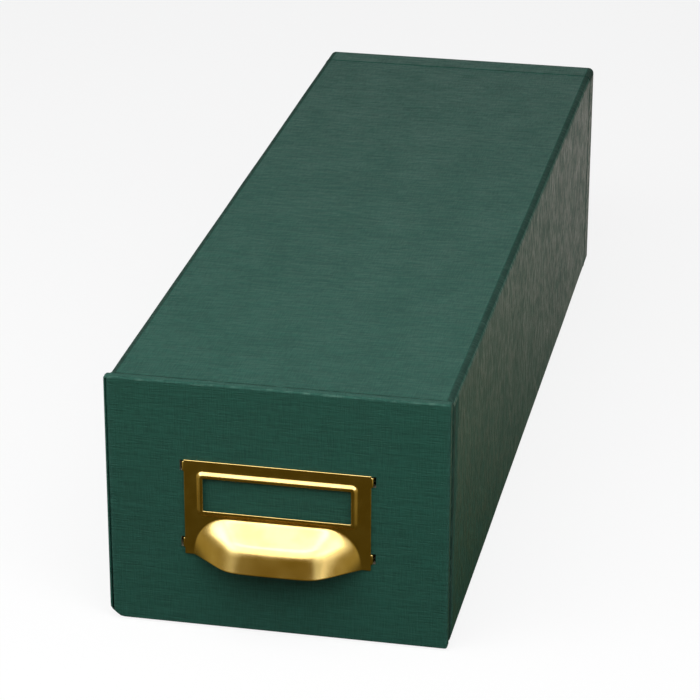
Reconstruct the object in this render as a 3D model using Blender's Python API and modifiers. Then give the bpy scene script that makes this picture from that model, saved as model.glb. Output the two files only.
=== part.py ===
"""Card-index box: a cloth-covered board case with one long card drawer and a pressed brass label pull.

Units are metres, +Z up, +X to the right as seen from the front, and the drawer opens towards -Y.
The origin is the middle of the face that the case rests on.
Every piece is built in the frame of its body, whose Y = 0 is the plane of the case's mouth.
"""
from math import cos, pi, sin, sqrt

import bmesh
import bpy
from mathutils import Vector

for old_object in list(bpy.data.objects):
    bpy.data.objects.remove(old_object)

# ---------------------------------------------------------------- case
case_width = 0.1100
case_height = 0.0848
case_depth = 0.3420
case_board = 0.0018          # greyboard
cloth = 0.00035              # bookcloth
glue_line = 0.0002           # film of glue between two layers
case_round = 0.0022          # outer radius of the covered long edges
lip_round = 0.0007           # outer radius where the cloth turns into the mouth
inner_round = 0.0003         # inside corner of the mouth
mouth_turn_in = 0.0150       # cloth folded into the case at its mouth
back_flap = 0.0130           # the back's own cloth laps this far round the walls
turn_under = 0.0140          # cloth folded under the bottom board
base_back_inset = 0.0030     # the base cloth stops short of the back

# ---------------------------------------------------------------- drawer front
panel_overhang = 0.0002      # the panel stands out past the case by this much, each side
panel_rise = 0.0004          # and above it by this much
panel_foot_gap = 0.0004      # between the panel's lower edge and the table
panel_mouth_gap = 0.0004     # between the closed panel and the case's mouth
panel_board = 0.0022
panel_round = 0.0010         # outer radius of the panel's front edges
panel_back_round = 0.0007    # the same behind
panel_corner = 0.0009        # corner radius of the panel's outline
panel_turn_in = 0.0150
drawer_shift = -0.0005       # the closed drawer lies to one side in its play

# ---------------------------------------------------------------- tray
tray_board = 0.0016
paper = 0.00025
tray_side_gap = 0.0007       # running play beside the tray, each side
tray_floor_gap = 0.0003      # running play under the tray
tray_back_gap = 0.0015       # free space behind the closed tray
tray_height = 0.0580
tray_round = 0.0006          # radius of the tray's covered rim and lower edges
tray_corner = 0.0012         # radius of the tray's upright corners
tray_turn_under = 0.0120
rim_turn_down = 0.0100       # paper folded over the rim into the tray

# ---------------------------------------------------------------- label pull
pull_width = 0.0602
pull_height = 0.0329
pull_middle = 0.04255        # height of the plate's middle above the table
pull_aside = 0.0005          # the pull sits a little to the right of the panel's middle
pull_sheet = 0.0005          # brass sheet
window_width = 0.0476
window_height = 0.0113
window_top = 0.0056          # from the plate's top edge to the window
lip_land = 0.0008            # flat rim of the raised lip round the window
lip_flank = 0.0015           # width of the slope from the rim down to the plate
lip_rise = 0.0009            # height of the rim above the plate
lip_corner = 0.0022          # outer corner radius of the lip
hood_rise = 0.0135           # from the plate's lower edge to the hood's top line
hood_half_width = 0.0275
hood_top_half = 0.0165       # half of the straight top line
hood_depth = 0.0114          # how far the rim stands off the plate
fold_drop = 0.0062           # the fold lies this far below the top line
fold_depth = 0.0087          # and this far off the plate
fold_half = 0.0125           # half length of the fold
rim_half = 0.0145            # half length of the rim's straight front
fold_softness = 0.0016       # length over which the fold is rounded
facet_sharpness = 5          # higher gives crisper upright creases
prong_width = 0.0033
prong_top_inset = 0.0006     # from the plate's top edge to the upper prongs
prong_foot_inset = 0.0022    # from the plate's lower edge to the lower prongs
prong_bend = 0.00065         # outer bend radius
prong_clinch = 0.0045        # length bent flat inside the tray
slit_play = 0.00075          # how far a slit runs past its prong

arc_steps = 4

# ---------------------------------------------------------------- places worked out from the sizes
case_half = case_width / 2
skin = cloth + glue_line                              # one covering layer with its glue
case_wall = skin + case_board + glue_line + cloth     # whole wall at the mouth
case_low = skin                                       # underside of the wrap, above the base cloth
case_floor = case_low + case_wall                     # top of the base cloth's turn-in
board_low = case_low + skin
board_high = case_height - skin
board_back = case_depth - skin
inner_half = case_half - case_wall
side_board_inner = case_half - skin - case_board

panel_thickness = skin + panel_board + skin
panel_back = -panel_mouth_gap
panel_front = panel_back - panel_thickness
panel_half = case_half + panel_overhang
panel_low = panel_foot_gap
panel_high = case_height + panel_rise

tray_skin = paper + glue_line
tray_wall = tray_skin + tray_board + glue_line + paper
tray_half = inner_half - tray_side_gap
tray_front = panel_back + glue_line
tray_back = board_back - case_board - tray_back_gap
tray_low = case_floor + tray_floor_gap
tray_wrap_low = tray_low + tray_skin
tray_high = tray_low + tray_height
tray_board_low = tray_wrap_low + tray_skin
tray_floor_top = tray_board_low + tray_board

pull_face = panel_front - glue_line - pull_sheet
pull_low = pull_middle - pull_height / 2
pull_high = pull_middle + pull_height / 2
pull_half = pull_width / 2
clinch_face = tray_front + tray_wall + glue_line + pull_sheet


# ---------------------------------------------------------------- collections, frames and materials
parts = bpy.data.collections.new("card_index_box")
cutters = bpy.data.collections.new("cutters")
bpy.context.scene.collection.children.link(parts)
bpy.context.scene.collection.children.link(cutters)


def body_frame(name, sideways):
    """An empty on the drawer's line of travel, in the plane of the case's mouth."""
    frame = bpy.data.objects.new(name, None)
    frame.location = (sideways, -case_depth / 2, 0)
    parts.objects.link(frame)
    return frame


def material(name, colour, roughness, metallic=0.0):
    made = bpy.data.materials.new(name)
    made.use_nodes = True
    shader = made.node_tree.nodes["Principled BSDF"]
    shader.inputs["Base Color"].default_value = (*colour, 1)
    shader.inputs["Roughness"].default_value = roughness
    shader.inputs["Metallic"].default_value = metallic
    return made


case_frame = body_frame("case", 0)
drawer_frame = body_frame("drawer", drawer_shift)

GREEN_CLOTH = (0.019, 0.090, 0.060)
GREYBOARD = (0.300, 0.270, 0.220)
GREEN_PAPER = (0.022, 0.080, 0.056)
CREAM_PAPER = (0.720, 0.680, 0.560)
BRASS = (0.800, 0.560, 0.200)


# ---------------------------------------------------------------- shared shapes
def add_object(name, mesh_builder, frame, surface):
    """Turn a bmesh into an object of the box, in the frame of its body."""
    mesh = bpy.data.meshes.new(name)
    mesh_builder.to_mesh(mesh)
    mesh_builder.free()
    made = bpy.data.objects.new(name, mesh)
    made.parent = frame
    parts.objects.link(made)
    mesh.materials.append(surface)
    return made


def smooth(made):
    made.data.shade_smooth()
    made.data.set_sharp_from_angle(angle=pi / 5)


def board(name, low, high, frame, surface, ease=0.0003, steps=1):
    """A cut board between two corners, with its cut edges eased."""
    low, high = Vector(low), Vector(high)
    builder = bmesh.new()
    bmesh.ops.create_cube(builder, size=1)
    bmesh.ops.scale(builder, vec=high - low, verts=builder.verts)
    made = add_object(name, builder, frame, surface)
    made.location = (low + high) / 2
    bevel = made.modifiers.new("eased edges", "BEVEL")
    bevel.width = ease
    bevel.segments = steps
    return made


def round_board_edges(made, radius, chosen):
    """Round the board's edges whose middle, as the signs of X, Y and Z, is one of those chosen."""
    builder = bmesh.new()
    builder.from_mesh(made.data)

    def middle_signs(edge):
        middle = (edge.verts[0].co + edge.verts[1].co) / 2
        return tuple(0 if abs(value) < glue_line else int(value / abs(value)) for value in middle)

    edges = [edge for edge in builder.edges if chosen(*middle_signs(edge))]
    bmesh.ops.bevel(builder, geom=edges, offset=radius, segments=arc_steps, affect="EDGES", profile=0.5)
    builder.to_mesh(made.data)
    builder.free()


def corner_arcs(left, right, low, high, radius):
    """The four corner arcs of a rounded rectangle, from the lower left one, going clockwise."""
    centres = ((left + radius, low + radius, -pi / 2), (left + radius, high - radius, pi),
               (right - radius, high - radius, pi / 2), (right - radius, low + radius, 0))
    points = []
    for across, up, start in centres:
        for step in range(arc_steps + 1):
            angle = start - step * pi / 2 / arc_steps
            points.append((across + radius * cos(angle), up + radius * sin(angle)))
    return points


def quarter_turn(radius):
    """Steps round a folded edge, as pairs: distance in from the side, distance in from the end."""
    angles = [step * pi / 2 / arc_steps for step in range(arc_steps + 1)]
    return [(radius * (1 - cos(angle)), radius * (1 - sin(angle))) for angle in angles]


def loft(builder, first, sections, closed):
    """Skin from a row of vertices through more sections with the same number of points."""
    rows = [first]
    rows += [[builder.verts.new(point) for point in section] for section in sections]
    count = len(first)
    spans = count if closed else count - 1
    for row, following in zip(rows, rows[1:]):
        for i in range(spans):
            j = (i + 1) % count
            builder.faces.new((row[i], following[i], following[j], row[j]))
    return rows


def sheet(name, builder, thickness, frame, surface, flip=False):
    """Give a thin skin its thickness, on the side away from the face that shows."""
    if flip:
        bmesh.ops.reverse_faces(builder, faces=builder.faces)
    builder.normal_update()
    made = add_object(name, builder, frame, surface)
    solid = made.modifiers.new("thickness", "SOLIDIFY")
    solid.thickness = thickness
    solid.offset = -1
    solid.use_even_offset = True
    return made


# ---------------------------------------------------------------- case boards
def make_case_boards():
    surface = material("case greyboard", GREYBOARD, 0.9)
    long_edge = case_round - skin
    walls_back = board_back - case_board - glue_line
    between = side_board_inner - glue_line
    board("case_bottom_board", (-between, skin, board_low), (between, walls_back, board_low + case_board),
          case_frame, surface)
    board("case_top_board", (-between, skin, board_high - case_board), (between, walls_back, board_high),
          case_frame, surface)
    for name, side in (("case_left_board", -1), ("case_right_board", 1)):
        near, far = sorted((side * side_board_inner, side * (case_half - skin)))
        made = board(name, (near, skin, board_low), (far, walls_back, board_high), case_frame, surface)
        round_board_edges(made, long_edge, lambda x, y, z, side=side: x == side and y == 0)
    back = board("case_back_board", (skin - case_half, board_back - case_board, board_low),
                 (case_half - skin, board_back, board_high), case_frame, surface)
    round_board_edges(back, long_edge, lambda x, y, z: y >= 0)


# ---------------------------------------------------------------- case cloth
def case_section(y, inset, tails=False):
    """The case's rounded outline at one depth; the tails are the strips folded under the bottom."""
    points = corner_arcs(inset - case_half, case_half - inset, case_low + inset, case_height - inset,
                         max(case_round - inset, inner_round))
    if tails:
        points = [(turn_under - case_half, case_low)] + points + [(case_half - turn_under, case_low)]
    return [(x, y, z) for x, z in points]


def make_case_wrap():
    """One cloth over the left, top and right, folded under the bottom and into the mouth."""
    builder = bmesh.new()
    wrap_back = case_depth - back_flap - glue_line
    first = [builder.verts.new(point) for point in case_section(wrap_back, 0, tails=True)]
    rows = loft(builder, first, [case_section(lip_round, 0, tails=True)], closed=False)
    lip = [case_section(end, inset) for inset, end in quarter_turn(lip_round)[1:]]
    fold = [case_section(end, case_wall - inset) for inset, end in quarter_turn(lip_round)[::-1]]
    turned_in = [case_section(mouth_turn_in, case_wall)]
    loft(builder, rows[-1][1:-1], lip + fold + turned_in, closed=False)
    made = sheet("case_wrap_cloth", builder, cloth, case_frame, material("wrap cloth", GREEN_CLOTH, 0.6))
    smooth(made)


def make_case_back_cloth():
    """The back's own sheet, lapped round the ends of the four walls."""
    builder = bmesh.new()
    first = [builder.verts.new(point) for point in case_section(case_depth - back_flap, 0)]
    round_over = [case_section(case_depth - end, inset) for inset, end in quarter_turn(case_round)]
    rows = loft(builder, first, round_over, closed=True)
    builder.faces.new(rows[-1][::-1])
    made = sheet("case_back_cloth", builder, cloth, case_frame, material("back cloth", GREEN_CLOTH, 0.6),
                 flip=True)
    smooth(made)


def make_case_base_cloth():
    """The sheet that the box stands on: under the bottom board, up its front edge and into the mouth."""
    half = inner_half - inner_round - glue_line
    rounding = quarter_turn(lip_round)
    profile = [(case_depth - base_back_inset, 0)]
    profile += [(end, inset) for inset, end in rounding]
    profile += [(end, case_floor - inset) for inset, end in rounding[::-1]]
    profile.append((mouth_turn_in, case_floor))
    builder = bmesh.new()
    first = [builder.verts.new((-half, y, z)) for y, z in profile]
    loft(builder, first, [[(half, y, z) for y, z in profile]], closed=False)
    made = sheet("case_base_cloth", builder, cloth, case_frame, material("base cloth", GREEN_CLOTH, 0.6))
    smooth(made)


make_case_boards()
make_case_wrap()
make_case_back_cloth()
make_case_base_cloth()


# ---------------------------------------------------------------- drawer front
def prong_spans():
    """The height ranges of the two prongs on each side of the pull."""
    upper = pull_high - prong_top_inset
    lower = pull_low + prong_foot_inset
    return ((lower, lower + prong_width), (upper - prong_width, upper))


def make_slit_cutter():
    """Four slots through the panel and the tray's front wall, one for each prong of the pull."""
    front = panel_front - cloth
    back = tray_front + tray_wall + paper
    inside = pull_half + prong_bend - pull_sheet - glue_line
    outside = pull_half + prong_bend + slit_play
    builder = bmesh.new()
    for side in (-1, 1):
        for low, high in prong_spans():
            slot = bmesh.ops.create_cube(builder, size=1)["verts"]
            size = (outside - inside, back - front, high - low + 2 * glue_line)
            bmesh.ops.scale(builder, vec=size, verts=slot)
            middle = (side * (inside + outside) / 2, (front + back) / 2, (low + high) / 2)
            bmesh.ops.translate(builder, vec=middle, verts=slot)
    mesh = bpy.data.meshes.new("prong slits")
    builder.to_mesh(mesh)
    builder.free()
    cutter = bpy.data.objects.new("prong_slits", mesh)
    cutter.parent = drawer_frame
    cutter.location.x = pull_aside
    cutter.hide_render = True
    cutter.display_type = "WIRE"
    cutters.objects.link(cutter)
    return cutter


def cut_slits(made, cutter):
    cut = made.modifiers.new("prong slits", "BOOLEAN")
    cut.operation = "DIFFERENCE"
    cut.solver = "EXACT"
    cut.object = cutter


def make_front_board(cutter):
    made = board("drawer_front_board",
                 (skin - panel_half, panel_front + skin, panel_low + skin),
                 (panel_half - skin, panel_front + skin + panel_board, panel_high - skin),
                 drawer_frame, material("front greyboard", GREYBOARD, 0.9), panel_round - skin, steps=2)
    cut_slits(made, cutter)


def make_front_cloth(cutter):
    """One sheet over the panel's face, drawn round its four edges and pasted down behind."""
    def section(y, inset):
        points = corner_arcs(inset - panel_half, panel_half - inset, panel_low + inset, panel_high - inset,
                             max(panel_corner - inset, inner_round))
        return [(x, y, z) for x, z in points]

    builder = bmesh.new()
    front_edge = [section(panel_front + end, inset) for inset, end in quarter_turn(panel_round)[::-1]]
    back_edge = [section(panel_back - end, inset) for inset, end in quarter_turn(panel_back_round)]
    first = [builder.verts.new(point) for point in front_edge[0]]
    builder.faces.new(first)
    loft(builder, first, front_edge[1:] + back_edge + [section(panel_back, panel_turn_in)], closed=True)
    made = sheet("drawer_front_cloth", builder, cloth, drawer_frame, material("front cloth", GREEN_CLOTH, 0.6),
                 flip=True)
    cut_slits(made, cutter)
    smooth(made)


# ---------------------------------------------------------------- tray
def tray_plan(inset, z):
    """The tray's rounded outline seen from above, moved in by an inset."""
    points = corner_arcs(inset - tray_half, tray_half - inset, tray_front + inset, tray_back - inset,
                         max(tray_corner - inset, inner_round))
    return [(x, y, z) for x, y in points]


def make_tray_boards(cutter):
    surface = material("tray greyboard", GREYBOARD, 0.9)
    outer = tray_half - tray_skin
    inner = outer - tray_board
    front = tray_front + tray_skin
    back = tray_back - tray_skin
    between = inner - glue_line
    top = tray_high - tray_skin
    for name, side in (("drawer_left_board", -1), ("drawer_right_board", 1)):
        near, far = sorted((side * inner, side * outer))
        made = board(name, (near, front, tray_board_low), (far, back, top), drawer_frame, surface)
        round_board_edges(made, tray_corner - tray_skin, lambda x, y, z, side=side: x == side and z == 0)
    inner_front = board("drawer_inner_front_board", (-between, front, tray_board_low),
                        (between, front + tray_board, top), drawer_frame, surface)
    cut_slits(inner_front, cutter)
    board("drawer_back_board", (-between, back - tray_board, tray_board_low), (between, back, top),
          drawer_frame, surface)
    board("drawer_floor_board", (-between, front + tray_board + glue_line, tray_board_low),
          (between, back - tray_board - glue_line, tray_floor_top), drawer_frame, surface)


def add_flat_sheet(name, plan, top, surface):
    builder = bmesh.new()
    builder.faces.new([builder.verts.new((x, y, top)) for x, y in plan][::-1])
    sheet(name, builder, paper, drawer_frame, surface)


def make_tray_papers(cutter):
    """The strip round the tray's walls, the sheet it slides on, and the lining of walls and floor."""
    outside = material("tray outer paper", GREEN_PAPER, 0.65)
    inside = material("tray lining paper", CREAM_PAPER, 0.85)
    turn = quarter_turn(tray_round)

    builder = bmesh.new()
    first = [builder.verts.new(point) for point in tray_plan(tray_turn_under, tray_wrap_low)]
    foot = [tray_plan(inset, tray_wrap_low + end) for inset, end in turn[::-1]]
    shoulder = [tray_plan(inset, tray_high - end) for inset, end in turn]
    brow = [tray_plan(tray_wall - inset, tray_high - end) for inset, end in turn[::-1]]
    hem = [tray_plan(tray_wall, tray_high - rim_turn_down)]
    loft(builder, first, foot + shoulder + brow + hem, closed=True)
    wrap = sheet("drawer_wrap_paper", builder, paper, drawer_frame, outside)
    cut_slits(wrap, cutter)
    smooth(wrap)

    builder = bmesh.new()
    first = [builder.verts.new(point) for point in tray_plan(tray_wall, tray_floor_top + glue_line)]
    loft(builder, first, [tray_plan(tray_wall, tray_high - rim_turn_down - glue_line)], closed=True)
    lining = sheet("drawer_wall_lining", builder, paper, drawer_frame, inside, flip=True)
    cut_slits(lining, cutter)

    inset = tray_wall + inner_round + glue_line
    plan = corner_arcs(inset - tray_half, tray_half - inset, tray_front + inset, tray_back - inset, inner_round)
    add_flat_sheet("drawer_floor_lining", plan, tray_floor_top + glue_line + paper, inside)
    inset = tray_round
    plan = corner_arcs(inset - tray_half, tray_half - inset, tray_front + inset, tray_back - inset, tray_corner)
    add_flat_sheet("drawer_base_paper", plan, tray_low + paper, outside)


slits = make_slit_cutter()
make_front_board(slits)
make_front_cloth(slits)
make_tray_boards(slits)
make_tray_papers(slits)


# ---------------------------------------------------------------- label pull
hood_rows = 4                # rows of the hood on each of its facets
hood_columns = 28
flank_rows = 6


def hood_profile():
    """The middle line of the hood, from its top line over the fold to the rim, as (depth, height)."""
    top = Vector((0, pull_low + hood_rise))
    fold = Vector((fold_depth, pull_low + hood_rise - fold_drop))
    rim = Vector((hood_depth, pull_low))
    before = fold + (top - fold).normalized() * fold_softness
    after = fold + (rim - fold).normalized() * fold_softness
    points = [top.lerp(before, row / hood_rows) for row in range(hood_rows)]
    for step in range(arc_steps + 1):
        share = step / arc_steps
        points.append(before.lerp(fold, share).lerp(fold.lerp(after, share), share))
    points += [after.lerp(rim, (row + 1) / hood_rows) for row in range(hood_rows)]
    return points


def hood_section(depth, height):
    """One level slice of the hood: a soft three-sided bow that starts and ends on the plate."""
    up = (height - pull_low) / hood_rise
    half = hood_top_half + (hood_half_width - hood_top_half) * sqrt(max(1 - up * up, 0))
    fold_up = 1 - fold_drop / hood_rise
    if up > fold_up:
        front = fold_half + (hood_top_half - fold_half) * (up - fold_up) / (1 - fold_up)
    else:
        front = rim_half + (fold_half - rim_half) * up / fold_up
    points = []
    for column in range(hood_columns + 1):
        along = -cos(pi * column / hood_columns)
        across = half * (0.6 * (2 * column / hood_columns - 1) + 0.4 * along)
        rise = (half - abs(across)) / max(half - front, cloth)
        share = 0 if rise <= 0 else (1 + rise ** -facet_sharpness) ** (-1 / facet_sharpness)
        points.append((across, pull_face - depth * share, height))
    return points


def lip_section(out, rise):
    """The outline of the raised lip round the window, moved out from the window's edge."""
    half = window_width / 2 + out
    high = pull_high - window_top + out
    low = pull_high - window_top - window_height - out
    corner = max(lip_corner - lip_land - lip_flank + out, inner_round)
    return [(x, pull_face - rise, z) for x, z in corner_arcs(-half, half, low, high, corner)]


def plate_outline(builder, left_tip, right_tip):
    """The plate's edge, from the left tip of the hood round to its right tip."""
    heights = [height for span in prong_spans() for height in span]
    left_side = [(-pull_half, height) for height in [pull_low] + heights + [pull_high]]
    right_side = [(pull_half, height) for height in [pull_high] + heights[::-1] + [pull_low]]
    corners = [builder.verts.new((x, pull_face, z)) for x, z in left_side + right_side]
    return [left_tip] + corners + [right_tip]


def bend_prongs(builder):
    """Bend the four prongs back from the plate's sides, through the panel, and flat inside the tray."""
    turn = quarter_turn(prong_bend)
    for side in (-1, 1):
        for low, high in prong_spans():
            path = [(pull_half + prong_bend - inset, pull_face + end) for inset, end in turn[::-1]][1:]
            path += [(pull_half + prong_bend - inset, clinch_face - end) for inset, end in turn]
            path.append((pull_half - prong_clinch, clinch_face))
            edges = [edge for edge in builder.edges
                     if all(abs(vert.co.x - side * pull_half) < inner_round
                            and low - inner_round < vert.co.z < high + inner_round
                            and abs(vert.co.y - pull_face) < inner_round for vert in edge.verts)]
            for x, y in path:
                grown = bmesh.ops.extrude_edge_only(builder, edges=edges)["geom"]
                for vert in grown:
                    if isinstance(vert, bmesh.types.BMVert):
                        vert.co.x, vert.co.y = side * x, y
                edges = [edge for edge in grown if isinstance(edge, bmesh.types.BMEdge)]


def make_label_pull():
    """The pull is one pressing: a plate with a raised lip round its window, a finger hood and four prongs."""
    builder = bmesh.new()
    profile = hood_profile()
    first = [builder.verts.new(point) for point in hood_section(*profile[0])]
    hood = loft(builder, first, [hood_section(*point) for point in profile[1:]], closed=False)

    window = [builder.verts.new(point) for point in lip_section(0, lip_rise)]
    down = [row / flank_rows for row in range(flank_rows + 1)]
    flank = [lip_section(lip_land + lip_flank * share, lip_rise * (1 + cos(pi * share)) / 2) for share in down]
    lip = loft(builder, window, flank, closed=True)

    left_seam = [row[0] for row in hood[::-1]]
    right_seam = [row[-1] for row in hood[1:]]
    seam = left_seam + hood[0][1:] + right_seam
    border = plate_outline(builder, seam[0], seam[-1]) + seam[-2:0:-1]
    rings = [border, lip[-1]]
    edges = []
    for ring in rings:
        for start, end in zip(ring, ring[1:] + ring[:1]):
            edges.append(builder.edges.get((start, end)) or builder.edges.new((start, end)))
    bmesh.ops.triangle_fill(builder, use_beauty=True, edges=edges)
    bend_prongs(builder)
    bmesh.ops.recalc_face_normals(builder, faces=builder.faces)
    made = sheet("label_pull", builder, pull_sheet, drawer_frame, material("brass", BRASS, 0.3, 1.0))
    made.location.x = pull_aside
    smooth(made)


make_label_pull()
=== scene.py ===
"""Card-index box: the look of its cloth, boards, papers and brass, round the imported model.

Lengths are metres in the box's own frame: +Z up, +X to the right as seen from the front,
and the drawer opens towards -Y. The box stands on Z = 0, over the middle of its base.
"""
from math import cos, hypot, pi, radians, sin, sqrt

import bmesh
import bpy
from mathutils import Matrix, Vector, noise


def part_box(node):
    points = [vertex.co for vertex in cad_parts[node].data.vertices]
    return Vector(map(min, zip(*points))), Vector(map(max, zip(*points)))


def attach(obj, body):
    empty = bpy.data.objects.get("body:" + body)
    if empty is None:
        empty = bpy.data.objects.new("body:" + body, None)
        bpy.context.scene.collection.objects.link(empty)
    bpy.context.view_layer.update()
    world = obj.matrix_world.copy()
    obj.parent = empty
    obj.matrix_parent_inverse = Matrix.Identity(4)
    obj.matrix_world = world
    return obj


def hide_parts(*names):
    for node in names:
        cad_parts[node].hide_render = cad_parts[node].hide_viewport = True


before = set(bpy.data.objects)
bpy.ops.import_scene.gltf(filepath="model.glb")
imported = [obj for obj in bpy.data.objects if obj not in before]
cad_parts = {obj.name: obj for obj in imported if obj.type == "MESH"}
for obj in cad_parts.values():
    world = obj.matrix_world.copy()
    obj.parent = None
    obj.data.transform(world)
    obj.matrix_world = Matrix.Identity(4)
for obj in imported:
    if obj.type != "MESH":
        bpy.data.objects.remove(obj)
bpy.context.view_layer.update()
scene = bpy.context.scene
scene.view_settings.view_transform = "Standard"


# ---------------------------------------------------------------- camera
# A long lens looks down on the drawer's front from a little to its right, so that the whole
# length of the case shows with little perspective.
camera_place = Vector((0.1879, -0.9868, 0.4574))
camera_turn = radians(11.472)
camera_tilt = radians(23.277)
camera_roll = radians(0.154)
camera_lens = 152.0          # millimetres, on a sensor 36 mm wide

camera_data = bpy.data.cameras.new("camera")
camera_data.lens = camera_lens
camera_data.clip_start = 0.01
camera = bpy.data.objects.new("camera", camera_data)
scene.collection.objects.link(camera)
camera.matrix_world = (Matrix.Translation(camera_place) @ Matrix.Rotation(camera_turn, 4, "Z")
                       @ Matrix.Rotation(pi / 2 - camera_tilt, 4, "X") @ Matrix.Rotation(camera_roll, 4, "Z"))
scene.camera = camera


# ---------------------------------------------------------------- table, studio and lamps
# A white table in a plain room, under a soft box, with a wide lamp in front and a small one at each
# side. To the camera table and room are white, and the table keeps the box's shadow. Mirrored in
# the brass and the coated cloth, both are dim in front of the box and lighter behind it.
table_reach = 4.0
table_drop = 0.0002
table_glow = 0.84                     # the share of the table's white that no shadow reaches
table_front = (0.067, 0.052, 0.007)   # how the table looks in reflections, in front of the box,
table_sides = (0.32, 0.27, 0.10)      # to its left and right
table_back = (0.80, 0.70, 0.65)       # and behind it
table_side_fade = (0.075, 0.170)      # the distance to either side over which it changes
table_fade = (-0.16, 0.40)            # and the stretch of Y
table_end = (0.50, 0.85)              # beyond which it is lost in the dark
table_bounce = 0.18                   # how much light it throws back on the box
table_roughness = 0.9
room_light = (0.160, 0.165, 0.175)    # the dim light that comes from all round
room_front = (0.15, 0.11, 0.01)       # the room in reflections, in front of the box,
room_back = (0.65, 0.64, 0.62)        # behind it at table height
room_high = (0.26, 0.26, 0.27)        # and higher up,
side_low = (0.26, 0.215, 0.075)       # to its left and right at table height
side_high = (1.00, 1.08, 1.05)        # and higher up,
room_ceiling = (0.80, 0.80, 0.86)     # straight above,
room_corner = (0.06, 0.06, 0.06)      # and in the dark corners between the back and the sides
back_fade = (0.30, 0.75)              # sines of the angles over which each takes over
back_rise = (0.05, 0.50)
corner_fade = (0.22, 0.40)
side_fade = (0.30, 0.60)
side_rise = (0.06, 0.48)
ceiling_fade = (0.80, 0.96)
lamps = (("soft box", (0.80, 0.37), (0.00, -0.34, 0.730), 1.45),     # name, size, place and watts
         ("front lamp", (2.40, 0.52), (0.00, -0.62, 0.610), 8.4),
         ("left lamp", (0.40, 0.34), (-0.60, -0.24, 0.360), 0.5),
         ("right lamp", (0.40, 0.34), (0.60, -0.46, 0.300), 0.35))
lamp_aim = (0.00, -0.17, 0.04)
white = (1, 1, 1)
black = (0, 0, 0)


def connect(tree, source, socket):
    """Feed a socket from another socket, or set it to a number, vector or colour."""
    if isinstance(source, bpy.types.NodeSocket):
        tree.links.new(source, socket)
    elif source is not None:
        is_colour = socket.type == "RGBA" and len(source) == 3
        socket.default_value = (*source, 1) if is_colour else source


def add_node(tree, kind, sources=None, **settings):
    """Add a shader node, with its settings and with what feeds its inputs."""
    made = tree.nodes.new("ShaderNode" + kind)
    for setting, value in settings.items():
        setattr(made, setting, value)
    for name, source in (sources or {}).items():
        connect(tree, source, made.inputs[name])
    return made


def maths(tree, operation, *values):
    """Work out one number from others."""
    made = add_node(tree, "Math", operation=operation)
    for value, socket in zip(values, made.inputs):
        connect(tree, value, socket)
    return made.outputs[0]


def fade(tree, value, low, high, at_low=0.0, at_high=1.0):
    """Go smoothly from one value to another while a third goes from low to high."""
    made = add_node(tree, "MapRange", interpolation_type="SMOOTHSTEP")
    for source, socket in zip((value, low, high, at_low, at_high), made.inputs):
        connect(tree, source, socket)
    return made.outputs[0]


def mix_colours(tree, share, first, second):
    """Go from the first colour to the second by a share."""
    made = add_node(tree, "Mix", data_type="RGBA")
    for source, socket in zip((share, first, second), (made.inputs[0], made.inputs[6], made.inputs[7])):
        connect(tree, source, socket)
    return made.outputs[2]


def add_lamp(name, size, place, aim, watts):
    """Hang a rectangular lamp that the camera doesn't see."""
    data = bpy.data.lights.new(name, "AREA")
    data.shape = "RECTANGLE"
    data.size, data.size_y = size
    data.energy = watts
    lamp = bpy.data.objects.new(name, data)
    lamp.location = place
    lamp.rotation_euler = (Vector(aim) - Vector(place)).to_track_quat("-Z", "Y").to_euler()
    lamp.visible_camera = False
    scene.collection.objects.link(lamp)


table_mesh = bpy.data.meshes.new("table")
table_corners = [(x * table_reach, y * table_reach, -table_drop)
                 for x, y in ((-1, -1), (1, -1), (1, 1), (-1, 1))]
table_mesh.from_pydata(table_corners, [], [(0, 1, 2, 3)])
table = bpy.data.objects.new("table", table_mesh)
scene.collection.objects.link(table)
table_paint = bpy.data.materials.new("white table")
table_paint.use_nodes = True
tree = table_paint.node_tree
place = add_node(tree, "SeparateXYZ", {0: add_node(tree, "NewGeometry").outputs["Position"]}).outputs
ray = add_node(tree, "LightPath").outputs
aside = maths(tree, "ABSOLUTE", place["X"])
reflected = mix_colours(tree, fade(tree, aside, *table_side_fade), table_front, table_sides)
reflected = mix_colours(tree, fade(tree, place["Y"], *table_fade), reflected, table_back)
reflected = mix_colours(tree, fade(tree, place["Y"], *table_end), reflected, black)
shader = tree.nodes["Principled BSDF"]
unseen = mix_colours(tree, ray["Is Glossy Ray"], (table_bounce,) * 3, black)
matt = mix_colours(tree, ray["Is Camera Ray"], unseen, (1 - table_glow,) * 3)
connect(tree, matt, shader.inputs["Base Color"])
glow = mix_colours(tree, ray["Is Glossy Ray"], (table_glow,) * 3, reflected)
seen = maths(tree, "MAXIMUM", ray["Is Camera Ray"], ray["Is Glossy Ray"])
connect(tree, glow, shader.inputs["Emission Color"])
connect(tree, seen, shader.inputs["Emission Strength"])
shader.inputs["Roughness"].default_value = table_roughness
shader.inputs["Specular IOR Level"].default_value = 0.0
table_mesh.materials.append(table_paint)

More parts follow.
